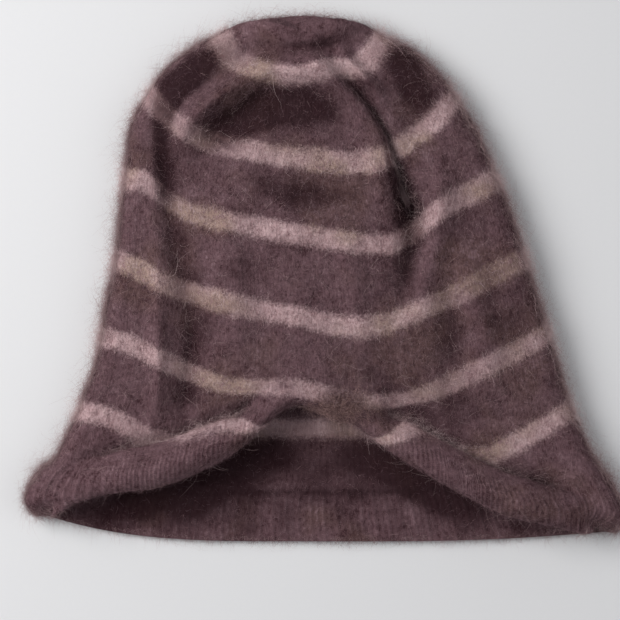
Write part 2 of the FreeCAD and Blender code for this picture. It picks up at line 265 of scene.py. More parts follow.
# ------ folds of the front layer
# Each fold: width on its left, width on its right, then points (x, y, height), walked from crown to hem.
FOLDS = [
    (6, 5.5, [(-24, 107, 1), (-34, 102, 5), (-45, 95.5, 7.5), (-57, 88, 8.5), (-68, 79.5, 7),
        (-74, 67, 2.5)]),
    (5.5, 8.5, [(-46, 118, -3), (-63, 107, -8), (-75, 96, -9), (-80, 80, -8), (-80, 62, -6.4),
        (-78, 44, -5.2), (-75, 26, -4.2), (-71, 8, -3), (-69, -4, -1)]),
    (5, 5, [(-88, 68, 1), (-88, 46, 2.8), (-86, 28, 3.4), (-84, 12, 2.6)]),
    (6.5, 13, [(-20, 95, -3), (-32, 89, -5.8), (-44, 80, -6.6), (-54, 71, -4.6), (-60, 60, -2)]),
    (10, 9, [(-30, 82, -1), (-16, 86, -5), (-4, 86, -5.5), (8, 82, -4), (18, 76, -1)]),
    (7, 3.5, [(-8, 118, 0.5), (0, 109, 2.5), (10, 97, 4), (20, 85, 5), (27, 72, 5.5), (30, 58, 5),
        (33, 46, 3), (36, 32, 0.6)]),
    (2.6, 3.6, [(-2, 112, -1), (6, 105, -3), (18, 92, -4.2), (26, 80, -5.8), (31, 70, -8.2),
        (34.5, 58, -10.4), (39, 47, -9), (45, 34, -4)]),
    (6.5, 7.5, [(35, 58, -3.5), (39, 46, -10), (43.5, 35, -11.5), (46, 23, -9), (44, 6, -5),
        (39, -12, -1.5)]),
    (5, 9, [(60, 64, 1.5), (59, 44, 5), (56, 28, 5.2), (52, 10, 4), (50, -12, 1.4)]),
    (4.5, 5, [(-84, 12, 0.8), (-83, -6, 4), (-82.5, -24, 5.8), (-82, -42, 5.8), (-82, -58, 4.6),
        (-84, -70, 2)]),
    (6, 8.5, [(-69, 6, -1.5), (-66, -12, -5), (-64, -28, -6.2), (-66, -42, -6), (-68, -56, -6.2),
        (-68, -66, -3.4)]),
    (6, 6, [(-40, 112, 0.8), (-28, 106, 3.6), (-14, 104, 4.6), (-2, 106, 4.4), (6, 107, 2)]),
    (3.6, 4.2, [(-30, 117, -1.5), (-18, 115, -3.6), (-4, 116, -3.8), (4, 115, -2)]),
    (4, 4, [(8, 116, 0.8), (16, 107, 3.4), (24, 99, 3.6), (30, 90, 1.4)]),
    (9, 8, [(32, 116, -2.5), (42, 105, -7), (48, 92, -8), (49, 78, -4)]),
    (5, 7, [(52, 108, 1), (62, 94, 4), (68, 80, 4), (74, 62, 1.6)]),
    (8, 10, [(70, 20, 0.6), (74, 0, 3.4), (80, -22, 3.6), (84, -44, 3), (86, -60, 0.6)]),
    (9, 9, [(60, 4, -0.8), (64, -16, -4), (66, -36, -4.4), (62, -54, -1.6)]),
    (8, 10, [(-46, 44, 0.6), (-47, 18, 3.4), (-45, -8, 4), (-41, -32, 3), (-37, -46, 0.6)]),
    (10, 12, [(-24, 52, -2.4), (-12, 44, -4.4), (0, 42, -3.6), (14, 38, -1.6)]),
    (8, 9, [(-20, 14, 0.4), (-14, -4, 1.6), (-10, -20, 1.8), (-4, -36, 0.6)]),
    (8, 8, [(-20, -38, 0.8), (-10, -46, 3.2), (2, -50, 3.2), (14, -50, 1)]),
    (7, 9, [(24, -44, -1.4), (36, -58, -5.5), (50, -67, -5.5), (64, -76, -2.4)]),
    (6, 7, [(-98, 40, 0.4), (-96, 18, 2.2), (-98, -4, 2.8), (-101, -26, 2.4), (-104, -48, 0.8)]),
    (7, 7, [(10, 30, 0.6), (14, 8, 2.6), (18, -14, 3), (22, -34, 1)]),
]


def fold_height(x, y):
    """Height that the folds add at a place on the plan."""
    total = np.zeros_like(x)
    for left_width, right_width, points in FOLDS:
        nearest = np.full(x.shape, 1e9)
        value = np.zeros_like(x)
        share = np.full(x.shape, 0.5)
        for (x0, y0, h0), (x1, y1, h1) in zip(points[:-1], points[1:]):
            dx, dy = x1 - x0, y1 - y0
            length2 = dx * dx + dy * dy
            along = np.clip(((x - x0) * dx + (y - y0) * dy) / length2, 0, 1)
            away_x = x - x0 - along * dx
            away_y = y - y0 - along * dy
            away = np.hypot(away_x, away_y)
            side = dx * away_y - dy * away_x
            closer = away < nearest
            nearest = np.where(closer, away, nearest)
            value = np.where(closer, h0 + (h1 - h0) * along, value)
            lean = side / np.maximum(away * math.sqrt(length2), 1e-6)
            share = np.where(closer, smooth(0.5 + 0.5 * lean), share)
        width = left_width + (right_width - left_width) * share
        total += value * np.exp(-(nearest / width) ** 2)
    return total


# Patches of the cloth: x, y, half width, half height, turn in degrees, strength.
# Painted shade: these patches darken the yarn colour where the cloth lies in shade, in hollows and on
# slopes turned from the light.
SHADE_PATCHES = [
    (-8, 84, 27, 12, -8, 0.5), (-42, 79, 22, 11, 24, 0.78), (-67, 100, 22, 9, 35, 0.74),
    (-79, 68, 8, 22, 0, 0.38), (-71, 22, 8, 24, 8, 0.22), (46, 100, 11, 18, 35, 0.6),
    (-14, 42, 34, 9, -8, 0.34), (60, 26, 13, 14, 0, 0.2), (88, -20, 22, 17, 30, 0.46),
    (70, -62, 20, 12, 10, 0.3), (40, 2, 9, 16, 0, 0.3), (-61, -26, 8, 16, 0, 0.16),
    (-62, -58, 8, 10, 0, 0.24), (-44, 6, 24, 9, -10, 0.3), (76, 26, 14, 9, 20, 0.22),
    (20, 98, 5, 12, 40, 0.3), (84, -84, 20, 5, -20, 0.35), (106, -99, 20, 5, -22, 0.4),
    (120, -114, 26, 8, -15, 0.25), (30, -40, 18, 9, 0, 0.25), (39, 44, 18, 4, -69, 0.8),
    (43, 29, 9, 5, -80, 0.7), (22, 86, 22, 4, -55, 0.22), (14, -60, 9, 4, -15, 0.4),
    (0, 118, 22, 4, 0, 0.35), (-46, -75, 9, 4, 10, 0.3), (-2, 96, 24, 6, 0, 0.25)]
# Where brown fuzz hides a stripe, and where a stripe has faded to tan.
FADED = [
    (12, -60, 10, 8, 0, 0.95), (-18, -53, 7, 6, -10, 0.85), (-40, 112, 12, 9, 40, 0.6),
    (82, 1, 24, 9, 30, 0.75), (75, -45, 36, 10, 20, 0.42), (-86, -78, 20, 8, -10, 0.35),
    (-78, 85, 8, 5, -40, 0.6), (-66, 77, 8, 7, 0, 0.42), (-50, 68, 13, 8, -15, 0.75),
    (-79, 43, 8, 7, -30, 0.75), (-60, 33, 12, 7, -15, 0.35), (-48, -13, 20, 8, -14, 0.35),
    (-58, -50, 14, 8, -12, 0.18), (70, 42, 13, 8, 35, 0.3), (66, -8, 9, 6, 20, 0.3),
    (86, -84, 16, 8, 25, 0.15), (28, 112, 10, 8, 0, 0.2), (-74, -2, 5, 6, 0, 0.45)]
TAN = [
    (-60, 70, 16, 8, -20, 0.8), (-58, 31, 20, 8, -14, 1), (-54, -10, 22, 8, -14, 1),
    (-55, -50, 20, 8, -12, 1), (-38, -80, 14, 8, 10, 0.7), (6, 103, 8, 6, 0, 0.6),
    (86, 4, 20, 9, 30, 0.7), (52, 70, 14, 8, 40, 0.7), (82, 46, 14, 6, 30, 0.5),
    (-10, -84, 22, 8, 0, 0.6), (80, -84, 12, 6, 25, 0.5)]
# Painted shade on the inner face: the shadow under the turned hem and its roll, and in the mouth.
SHADE_PATCHES_INSIDE = [
    (-50, -98, 34, 11, 26, 0.95), (-88, -110, 26, 7, 18, 0.9), (-60, -116, 40, 12, 5, 0.18),
    (-6, -74, 26, 8, 0, 0.05), (52, -102, 36, 10, -27, 1), (0, -88, 60, 14, 0, 0.2),
    (16, -98, 46, 13, 0, 0.42)]


def patchwork(x, y, patches):
    """Sum of soft oval patches."""
    total = np.zeros_like(x)
    for px, py, wide, tall, degrees, strength in patches:
        turn = math.radians(degrees)
        u = (x - px) * math.cos(turn) + (y - py) * math.sin(turn)
        v = (y - py) * math.cos(turn) - (x - px) * math.sin(turn)
        total += strength * np.exp(-(u / wide) ** 2 - (v / tall) ** 2)
    return total


# The crease on the right, walked upwards: y, x.
CREASE = np.array([
    (-60, 47), (26, 47), (42, 41), (58, 34.5), (72, 30.5), (84, 24), (93, 17.5), (105, 6), (116, -4),
    (140, -20)], float)


def crease_lean(x, y):
    """Sideways pull that closes the crease on the right: the left panel leans over it."""
    away = x - curve(CREASE, y)
    strength = smooth((y - 38.0) / 14.0) * smooth((104.0 - y) / 34.0)
    return strength * (3.0 * bell(away, -3.0, 2.6) - 1.4 * bell(away, 3.0, 2.6))


def section(reach):
    """Feet, floor, height, radius of the side turns and half width of the flat of each course."""
    left_x, left_y, right_x, right_y = [curve(SIDES, reach, column) for column in (1, 2, 3, 4)]
    floor = back_path(reach)[1]
    height = curve(HEIGHT, reach)
    turn = np.minimum(curve(TURN, reach), 0.47 * (height - floor))
    return left_x, left_y, right_x, right_y, floor, height, turn, (right_x - left_x) / 2.0 - turn


def crest_line(x):
    """Line along which the front hem turns in."""
    return curve(ARCH, x) + curve(ROLL_REACH, x)


def open_wrap(part, reach):
    """Side turns and front before the hem is turned in.  part is a row vector, reach a column vector."""
    left_x, left_y, right_x, right_y, floor, height, turn, flat = section(reach)
    middle = (left_x + right_x) / 2.0
    arc = math.pi * turn
    length = 2.0 * arc + 2.0 * flat
    run = part * length
    across = np.clip((run - arc) / flat - 1.0, -1.0, 1.0)
    from_side = np.minimum(run, length - run)
    angle = np.clip(from_side / np.maximum(turn, 1e-6), 0.0, math.pi)
    on_left = run < length / 2.0
    out = turn * np.sin(angle) * np.where(from_side < arc, 1.0, 0.0)
    x = middle + across * flat + np.where(on_left, -out, out)
    t = (x - left_x) / np.maximum(right_x - left_x, 1e-6)
    y = front_y(t, reach)
    foot_y = np.where(on_left, left_y, right_y)
    under = (from_side < arc) & (angle < math.pi / 2.0)
    y = np.where(under, foot_y, y)
    edge = floor + 2.0 * turn
    z_turn = floor + turn - turn * np.cos(angle)
    body = edge + (np.maximum(edge, height) - edge) * (1.0 - across * across) ** 2
    inner = smooth((1.0 - np.abs(across)) / 0.22)
    folds = fold_height(x, y) * inner
    folds = folds + 0.7 * noise(x, y, 17.0, 3) * inner + 0.3 * noise(x, y, 7.0, 4) * inner
    folds = folds * smooth((reach - 4.0) / 16.0)
    top = curve(ROLL_TOP, x) + 0.5 * noise(x, y, 13.0, 9)
    top = edge + (top - edge) * inner
    away = np.maximum(y - crest_line(x), 0.0)
    near = bell(away, 0.0, 6.5) * smooth((reach - 170.0) / 20.0)
    beside = inner * smooth((np.abs(x + 3.0) - 24.0) / 18.0) * smooth((reach - 190.0) / 15.0)
    valley = -8.5 * bell(away, 11.5, 4.4) * beside
    z = (body + folds + valley) * (1.0 - near) + top * near
    lean = 4.8 * bell(away, 7.0, 2.8) - 4.4 * bell(away, 12.5, 3.0)
    y = y + lean * beside * smooth((np.abs(x + 3.0) - 34.0) / 14.0)
    x = x + crease_lean(x, y) * inner
    z = np.where(from_side < arc, z_turn, z)
    return x, y, z, across


NOWHERE = 1e6


def fold_lines(part):
    """For every line of stitches: where the front fabric starts to turn in."""
    reach = np.arange(150.0, 300.01, 0.75)[:, None]
    x, y, z, across = open_wrap(part, reach)
    gap = y - crest_line(x)
    past = (gap < 0) & (np.abs(across) < 1.0)
    found = past.any(axis=0)
    first = np.where(found, past.argmax(axis=0), len(reach) - 1)
    before = np.maximum(first - 1, 0)
    column = np.arange(part.shape[1])
    g0 = gap[before, column]
    g1 = gap[first, column]
    share = np.where(found, np.clip(g0 / np.maximum(g0 - g1, 1e-9), 0, 1), 1.0)
    at = reach[before, 0] + share * (reach[first, 0] - reach[before, 0])
    values = [a[before, column] + share * (a[first, column] - a[before, column]) for a in (x, y, z)]
    return [value[None, :] for value in [np.where(found, at, NOWHERE)] + values]


def wrap(part, reach, lines):
    """Side turns and front with the hem turned in round its roll."""
    x, y, z, across = open_wrap(part, reach)
    start, fold_x, fold_y, fold_z = lines
    ease = smooth((1.0 - np.abs(across)) / 0.17)
    floor = curve(TUCK, fold_x)
    tall = np.maximum(fold_z - floor, 2.0) / 2.0
    wide = curve(ROLL_REACH, fold_x)
    half = math.pi * np.sqrt((tall * tall + wide * wide) / 2.0)
    excess = np.maximum(fold_y - y, 0.0) * ease
    angle = np.minimum(excess / half, 1.0) * math.pi
    tuck = np.maximum(excess - half, 0.0)
    folded_y = fold_y - wide * np.sin(angle) + tuck
    folded_z = fold_z - tall * (1.0 - np.cos(angle))
    folded_z = folded_z + 0.5 * noise(fold_x, tuck, 15.0, 12) * smooth(tuck / 10.0)
    past = (reach > start) & (np.abs(across) < 1.0)
    mix = np.where(past, ease, 0.0)
    return (x + (fold_x - x) * mix, np.where(past, folded_y * mix + (1 - mix) * y, y),
            np.where(past, folded_z * mix + (1 - mix) * z, z))


def back(part, reach):
    """Back layer, part 0..1 from right foot to left foot."""
    left_x, left_y, right_x, right_y, floor, _, _, flat = section(reach)
    line = back_path(reach)[0]
    x = (left_x + right_x) / 2.0 + (1.0 - 2.0 * part) * flat
    side = right_y + (left_y - right_y) * part
    level = np.sin(math.pi * part)
    rise = level + (1.0 - (1.0 - level) ** 2 - level) * smooth((reach - 40.0) / 60.0)
    return x, side + (line - side) * rise, floor + 0.0 * part


# ------ whole courses
WRAP_COLUMNS = 1080
BACK_COLUMNS = 400
ROW_STEP = 1.0
PART = np.concatenate([np.linspace(0, 1, WRAP_COLUMNS, endpoint=False),
                       1 + np.linspace(0, 1, BACK_COLUMNS, endpoint=False)])
WRAP_PART = PART[:WRAP_COLUMNS][None, :]
BACK_PART = PART[WRAP_COLUMNS:][None, :] - 1.0
LINES = fold_lines(WRAP_PART)
SEAMS = {"crown_seam_front_left": 0.19, "crown_seam_front_right": 0.77,
         "crown_seam_back_right": 1.26, "crown_seam_back_left": 1.74}


def middle_surface(reach):
    """Outer face of whole courses, before the stitches: array rows x columns x 3."""
    reach = np.asarray(reach, float)[:, None]
    pairs = zip(wrap(WRAP_PART, reach, LINES), back(BACK_PART, reach))
    return np.stack([np.concatenate(pair, axis=1) for pair in pairs], axis=-1)


def normals(points, reach):
    """Inward normals; near the crown centre they are averaged over a wider stretch of the course."""
    down = np.gradient(points, axis=0)
    along = np.empty_like(points)
    count = points.shape[1]
    for row, value in enumerate(reach):
        wide = max(1, int(count * 0.11 * float(smooth((30.0 - value) / 26.0))))
        along[row] = np.roll(points[row], -wide, axis=0) - np.roll(points[row], wide, axis=0)
    return unit(np.cross(along, down))


def arc_position(reach):
    """Distance walked round each course, starting at the left foot."""
    points = middle_surface(reach)
    step = np.linalg.norm(np.roll(points, -1, axis=1) - points, axis=-1)
    total = np.cumsum(step, axis=1)
    return np.concatenate([np.zeros((len(points), 1)), total[:, :-1]], axis=1), total[:, -1:]


PANEL_REACH = 78.0
SEAM_PARTS = list(SEAMS.values())
WALES_BETWEEN_PANELS = 40.0


def panel_wales(reach):
    """Wale number at every point: wales run straight within a panel and meet at the crown's seams."""
    clipped = np.minimum(np.asarray(reach, float), PANEL_REACH)
    position, total = arc_position(np.unique(clipped))
    rows = np.searchsorted(np.unique(clipped), clipped)
    position = position[rows]
    total = total[rows]
    result = np.empty_like(position)
    number = np.searchsorted(np.array(SEAM_PARTS), PART) % 4
    for panel in range(4):
        first = SEAM_PARTS[panel - 1]
        last = SEAM_PARTS[panel]
        centre = ((first + last + (2.0 if first > last else 0.0)) / 2.0) % 2.0
        column = int(np.argmin(np.abs(PART - centre)))
        own = np.where(number == panel)[0]
        offset = position[:, own] - position[:, column:column + 1]
        offset = offset - total * np.round(offset / total)
        result[:, own] = offset / WALE + WALES_BETWEEN_PANELS * panel
    return result


def cloth(first, last):
    """Outer and inner faces of a band, inward normals, and what the shader reads at every point.

    For the outer and the inner face, knit holds the wale, the reach and the amount of painted shade, and
    tint holds how faded, how tan and how clear the stitches are.
    """
    count = max(3, int(round((last - first) / ROW_STEP)) + 1)
    reach = np.linspace(first, last, count)
    padded = np.concatenate([[first - 0.4], reach, [min(last + 0.4, HEM + 0.4)]])
    points = middle_surface(padded)
    inward = normals(points, padded)[1:-1]
    points = points[1:-1]
    x, y, z = np.moveaxis(points, -1, 0)
    wales = panel_wales(reach)
    column = reach[:, None]
    ridge = np.cos(FULL_TURN * wales)
    rib = smooth((column - RIB + 1.0) / 2.0)
    rib_ridge = np.cos(math.pi * wales)
    grain = noise(x + 3 * z, y + 2 * z, 2.1, 5)
    fluff = noise(x - 2 * z, y + z, 4.7, 6)
    bead = BEAD * smooth((column - EDGE + 0.8) / 1.2)
    ledge = LEDGE * bell(column, RIB, 1.6)
    behind = (np.arange(points.shape[1]) >= WRAP_COLUMNS).astype(float)[None, :]
    front = 1.0 - behind
    crest = crest_line(x)
    clear = front * smooth((crest + 7.0 - y) / 4.0) * smooth((column - 226.0) / 12.0)
    clear = np.maximum(clear, 0.6 * rib)
    relief = (WALE_RELIEF + CLEAR_RELIEF * clear) * ridge + GRAIN * grain + FLUFF * fluff
    relief = relief + RIB_RELIEF * rib * rib_ridge + bead + ledge
    under = behind * (back_path(column)[1] <= 0.01)
    outer = points - inward * (relief * (1.0 - 0.85 * under))[..., None]
    outer[..., 2] = np.maximum(outer[..., 2], 0.0)
    swell = 0.5 * noise(x, y, 19.0, 8) + 0.9 * bell(column, RIB - 3.0, 4.0) - 0.4 * rib
    inner_relief = (0.035 + 0.05 * rib) * ridge + 0.05 * grain + 0.10 * fluff
    inner_relief = inner_relief + 0.09 * rib * rib_ridge + bead + under * (swell + 0.5)
    inner = points + inward * (FABRIC + inner_relief)[..., None]
    inner[..., 2] = np.maximum(inner[..., 2], 0.6)
    # Painted shade on the front: up-facing valleys of the folds off the roll and the shade patches, plus
    # some random tone.
    off_roll = smooth((y - crest - 7.0) / 5.0)
    faces_up = smooth((inward[..., 2] + 0.1) / -0.3)
    valley_shade = np.clip(-fold_height(x, y) / 11.0, 0.0, 0.8) * front * off_roll * faces_up
    dark = valley_shade + patchwork(x, y, SHADE_PATCHES) * front
    dark = dark + 0.16 * noise(x, y, 11.0, 31) + 0.10 * noise(x, y, 5.0, 32)
    # Painted shade on the inner face: its patches, an even darkening, more on the rib and a line at its
    # top, plus some random tone.
    dark_inside = behind * patchwork(x, y, SHADE_PATCHES_INSIDE)
    dark_inside = dark_inside + 0.18 * noise(x, y, 9.0, 33) + 0.16 + 0.14 * rib
    dark_inside = dark_inside + 0.10 * bell(column, RIB + 0.6, 2.0) * (1.0 + 0.8 * noise(x, y, 6.0, 41))
    knit = [np.stack([wales, column + 0 * wales, np.clip(value, -0.3, 0.9)], axis=-1)
            for value in (dark, dark_inside)]
    faded = np.clip(patchwork(x, y, FADED) * front, 0.0, 1.0)
    tan = patchwork(x, y, TAN)
    tint = [np.stack([faded, tan, clear], axis=-1),
            np.stack([0.0 * faded + 0.25, tan, 0.0 * x + 0.25 + 0.4 * rib], axis=-1)]
    return outer, inner, inward, knit, tint


def to_frame(points):
    """Design millimetres to metres of the frame."""
    return (points - SHIFT) * SCALE


def quads(*corners):
    """Four-sided faces from four grids of vertex numbers."""
    return np.stack(corners, axis=-1).reshape(-1, 4)


def set_vectors(mesh, name, values):
    """Three numbers on every vertex, for the shader."""
    attribute = mesh.attributes.new(name, "FLOAT_VECTOR", "POINT")
    attribute.data.foreach_set("vector", values.astype(np.float32).ravel())


def ring_mesh(name, outer, inner, values):
    """Closed ring of cloth with its point attributes; the edges of its first and last rows are sharp."""
    rows, columns = outer.shape[:2]
    size = rows * columns
    index = np.arange(size).reshape(rows, columns)
    nxt = np.roll(index, -1, axis=1)
    faces = np.concatenate([
        quads(index[:-1], index[1:], nxt[1:], nxt[:-1]),
        quads(nxt[:-1], nxt[1:], index[1:], index[:-1]) + size,
        quads(index[0], nxt[0], nxt[0] + size, index[0] + size),
        quads(nxt[-1], index[-1], index[-1] + size, nxt[-1] + size)])
    points = to_frame(np.concatenate([outer.reshape(-1, 3), inner.reshape(-1, 3)]))
    mesh = make_mesh(name, points, faces)
    for key, both in values.items():
        set_vectors(mesh, key, np.concatenate(both))
    border = np.zeros(2 * size, bool)
    for row in (0, rows - 1):
        border[index[row]] = True
        border[index[row] + size] = True
    edges = np.empty(len(mesh.edges) * 2, np.int32)
    mesh.edges.foreach_get("vertices", edges)
    edges = edges.reshape(-1, 2)
    sharp = mesh.attributes.new("sharp_edge", "BOOLEAN", "EDGE")
    sharp.data.foreach_set("value", border[edges].all(axis=1))
    mesh.update()
    return mesh


def make_mesh(name, points, faces):
    """Smooth mesh from arrays."""
    mesh = bpy.data.meshes.new(name)
    corners = faces.shape[1]
    mesh.vertices.add(len(points))
    mesh.vertices.foreach_set("co", np.asarray(points, np.float32).ravel())
    mesh.loops.add(faces.size)
    mesh.loops.foreach_set("vertex_index", faces.astype(np.int32).ravel())
    mesh.polygons.add(len(faces))
    mesh.polygons.foreach_set("loop_start", np.arange(0, faces.size, corners, dtype=np.int32))
    mesh.polygons.foreach_set("use_smooth", np.ones(len(faces), bool))
    mesh.update(calc_edges=True)
    mesh.validate()
    return mesh


def add_object(name, data):
    new = bpy.data.objects.new(name, data)
    SCENE.collection.objects.link(new)
    return new


def add_piece(name, mesh, material, nodes=()):
    """One visible piece of the hat."""
    piece = add_object(name, mesh)
    mesh.materials.append(material)
    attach(piece, "root")
    if nodes:
        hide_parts(*nodes)


# ------ node helpers
class Graph:
    """A material and a small wrapper that adds and links its shader nodes."""

    def __init__(self, name):
        self.material = bpy.data.materials.new(name)
        self.material.use_nodes = True
        self.tree = self.material.node_tree
        self.tree.nodes.clear()

    def node(self, kind, **values):
        node = self.tree.nodes.new(kind)
        for key, value in values.items():
            setattr(node, key, value)
        return node

    def put(self, node, **values):
        """Set or link the inputs of a node; an underscore in a name stands for a space."""
        for key, value in values.items():
            self.feed(node.inputs[key.replace("_", " ")], value)

    def feed(self, socket, value):
        if isinstance(value, bpy.types.NodeSocket):
            self.tree.links.new(value, socket)
        elif isinstance(value, tuple) and len(value) < len(socket.default_value):
            socket.default_value = (*value, 1.0)
        else:
            socket.default_value = value

    def math(self, operation, *values, clamp=False):
        node = self.node("ShaderNodeMath", operation=operation, use_clamp=clamp)
        for socket, value in zip(node.inputs, values):
            self.feed(socket, value)
        return node.outputs[0]

    def times(self, value, amount, base=None):
        """value * amount, with the base added if there is one."""
        if base is None:
            return self.math("MULTIPLY", value, amount)
        return self.math("MULTIPLY_ADD", value, amount, base)

    def swing(self, value, amount, base=0.0, middle=0.5):
        """Distance of a value from its middle, scaled and added to the base."""
        return self.times(self.math("SUBTRACT", value, middle), amount, base)

    def wave(self, value, turn=FULL_TURN):
        """Cosine wave between 0 and 1."""
        return self.times(self.math("COSINE", self.times(value, turn)), 0.5, 0.5)

    def ramp(self, value, low, high, to_low=0.0, to_high=1.0):
        node = self.node("ShaderNodeMapRange", interpolation_type="SMOOTHSTEP")
        self.put(node, Value=value, From_Min=low, From_Max=high, To_Min=to_low, To_Max=to_high)
        return node.outputs["Result"]

    def mix(self, factor, first, second):
        node = self.node("ShaderNodeMix", data_type="RGBA")
        for number, value in ((0, factor), (6, first), (7, second)):
            self.feed(node.inputs[number], value)
        return node.outputs[2]

    def noise(self, vector, scale, detail=2.0, roughness=0.5):
        node = self.node("ShaderNodeTexNoise")
        self.put(node, Vector=vector, Scale=scale, Detail=detail, Roughness=roughness)
        return node.outputs["Fac"]

    def place(self):
        return self.node("ShaderNodeTexCoord").outputs["Object"]

    def attribute(self, name):
        """The three numbers that a mesh attribute holds."""
        node = self.node("ShaderNodeSeparateXYZ")
        self.put(node, Vector=self.node("ShaderNodeAttribute", attribute_name=name).outputs["Vector"])
        return node.outputs

    def bump(self, height, strength, distance):
        node = self.node("ShaderNodeBump")
        self.put(node, Height=height, Strength=strength, Distance=distance)
        return node.outputs["Normal"]

    def finish(self, **values):
        shader = self.node("ShaderNodeBsdfPrincipled")
        self.put(shader, **values)
        self.put(self.node("ShaderNodeOutputMaterial"), Surface=shader.outputs["BSDF"])
        return self.material


def linear(*display):
    """Linear colour from display values 0..255."""
    channels = [value / 255.0 for value in display]
    return tuple(c / 12.92 if c <= 0.04045 else ((c + 0.055) / 1.055) ** 2.4 for c in channels)


MAIN = linear(98, 74, 79)
MAIN_DARK = linear(60, 39, 43)
MAIN_LIGHT = linear(134, 108, 114)
PINK = linear(187, 158, 160)
PINK_DARK = linear(146, 116, 119)
PINK_LIGHT = linear(212, 187, 188)
# Shaded copies of the yarn colours, used where shade is painted.
MAIN_PAINTED_SHADE = linear(34, 17, 21)
PINK_PAINTED_SHADE = linear(92, 69, 70)
MAIN_WARM = linear(95, 72, 71)
PINK_WARM = linear(164, 140, 128)
SHEEN = linear(206, 166, 172)


def knit_material(name, ribbed=False):
    """Brushed knit: wales, slanted stitches, heathered yarn, feathered stripe borders and painted shade.
    """
    g = Graph(name)
    # The third number of knit is the amount of painted shade.
    wale, reach, flat = g.attribute("knit")
    faded, tan, clear = g.attribute("tint")
    place = g.place()

    feather = g.swing(g.noise(place, 900.0, 3.0), 6.5)
    drift = g.swing(g.noise(place, 210.0, 3.0), 4.6)
    cycle = g.math("PINGPONG", g.math("ADD", reach, STRIPE_PITCH - FIRST_STRIPE), STRIPE_PITCH / 2.0)
    distance = g.math("ADD", g.math("ADD", cycle, feather), drift)
    stripe = g.ramp(distance, STRIPE_HALF - 2.7, STRIPE_HALF + 2.3, 1.0, 0.0)
    stripe = g.times(stripe, g.ramp(reach, 252.0, 254.0, 1.0, 0.0))
    stripe = g.times(stripe, g.ramp(reach, 16.0, 18.0))
    fade = g.times(faded, g.ramp(g.noise(place, 420.0, 3.0), 0.25, 0.60, 0.45, 1.15))
    stripe = g.times(stripe, g.math("SUBTRACT", 1.0, fade, clamp=True))

    leg = g.math("PINGPONG", wale, 0.5)
    slant = g.math("ADD", g.math("DIVIDE", reach, STITCH), g.times(leg, 1.3))
    loop = g.times(g.wave(slant), 0.42, g.times(g.wave(wale), 0.58))
    if ribbed:
        loop = g.times(g.wave(wale, math.pi), 0.25, g.times(loop, 0.75))

    worn = g.ramp(g.noise(place, 95.0, 2.0), 0.38, 0.66, 0.25, 1.0)
    shown = g.times(clear, 1.9, g.times(worn, 0.8))

    heather = g.noise(place, 420.0, 4.0, 0.65)
    stretched = g.node("ShaderNodeMapping")
    g.put(stretched, Vector=place, Scale=(2600.0, 420.0, 1200.0), Rotation=(0.2, 0.3, 0.7))
    hair = g.noise(stretched.outputs[0], 1.0, 3.0)

    tone = g.swing(heather, 1.35)
    tone = g.swing(g.noise(place, 46.0, 3.0, 0.55), 0.9, tone)
    tone = g.swing(hair, 1.1, tone)
    tone = g.swing(g.noise(place, 150.0, 3.0, 0.6), 0.9, tone)
    tone = g.swing(loop, g.times(shown, 0.17), tone, middle=0.55)
    tone = g.math("ADD", tone, 0.5)
    shade = g.ramp(tone, 0.0, 0.55)
    light = g.ramp(tone, 0.5, 1.25)
    warm = g.ramp(g.times(tan, 0.22, g.noise(place, 28.0, 2.0)), 0.50, 0.70)
    brown = g.mix(light, g.mix(shade, MAIN_DARK, g.mix(warm, MAIN, MAIN_WARM)), MAIN_LIGHT)
    pink = g.mix(light, g.mix(shade, PINK_DARK, g.mix(warm, PINK, PINK_WARM)), PINK_LIGHT)
    # Painted shade: the colour turns to the shaded copies where the painted shade is high.
    deep = g.mix(stripe, MAIN_PAINTED_SHADE, PINK_PAINTED_SHADE)
    base = g.mix(g.ramp(flat, 0.0, 0.9, 0.0, 0.88), g.mix(stripe, brown, pink), deep)

    fibre = g.noise(place, 2400.0, 4.0, 0.7)
    height = g.times(loop, g.times(shown, 0.24))
    for relief, amount in ((fibre, 0.45), (hair, 0.45), (heather, 0.5)):
        height = g.times(relief, amount, height)
    return g.finish(Base_Color=base, Roughness=g.ramp(fibre, 0.2, 0.8, 0.86, 0.98),
                    Normal=g.bump(height, 0.75, 0.00042), Specular_IOR_Level=0.04,
                    Sheen_Weight=0.11, Sheen_Roughness=0.55, Sheen_Tint=SHEEN)


def seam_material():
    """Plied yarn of a seam: slanted plies over a heathered colour."""
    g = Graph("seam_yarn_ply")
    length, round_yarn, _ = g.attribute("ply")
    ply = g.wave(g.math("ADD", g.math("DIVIDE", length, SEAM_PITCH), g.times(round_yarn, 2.0)))
    heather = g.noise(g.place(), 900.0, 4.0, 0.65)
    tone = g.times(ply, 0.55, g.times(heather, 0.6))
    return g.finish(Base_Color=g.mix(g.ramp(tone, 0.2, 0.95), MAIN_DARK, MAIN_LIGHT),
                    Roughness=g.ramp(heather, 0.2, 0.8, 0.85, 0.98), Normal=g.bump(tone, 0.6, 0.0003),
                    Specular_IOR_Level=0.04, Sheen_Weight=0.25, Sheen_Roughness=0.55)


def fibre_material(name, colour):
    """Plain colour of one kind of fibre."""
    return Graph(name).finish(Base_Color=colour, Roughness=0.8, Specular_IOR_Level=0.06,
                              Sheen_Weight=0.12, Sheen_Roughness=0.5, Sheen_Tint=SHEEN)


